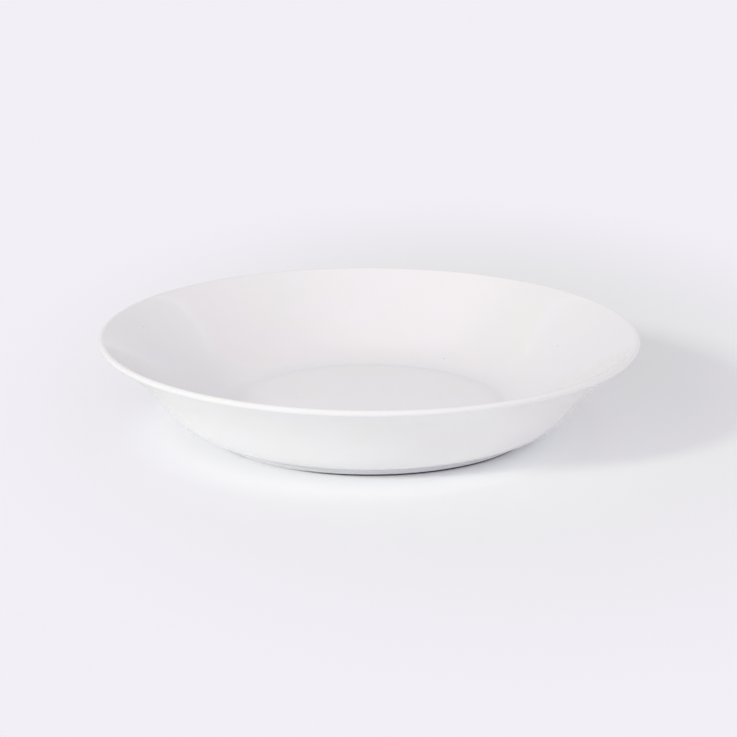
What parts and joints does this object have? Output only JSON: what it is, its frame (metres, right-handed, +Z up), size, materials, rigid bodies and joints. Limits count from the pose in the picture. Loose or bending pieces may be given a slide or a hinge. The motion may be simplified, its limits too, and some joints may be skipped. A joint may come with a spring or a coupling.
{
  "type": "deep plate",
  "caption": "Round coupe deep plate in white glazed porcelain: flat well, flared wall, thin rounded rim and a low foot ring with a bare standing band.",
  "frame": {"origin": "centre of the foot ring, in the plane of its standing band", "axes": "+Z up along the plate's axis of revolution, X and Y level and equivalent"},
  "size_m": [0.21, 0.21, 0.0377],
  "materials": {
    "porcelain": "matt fired porcelain, bare",
    "glaze": "clear gloss glaze over white"
  },
  "bodies": {
    "root": {"porcelain_body": "porcelain", "glaze_coat": "glaze", "base_glaze": "glaze"}
  },
  "joints": []
}
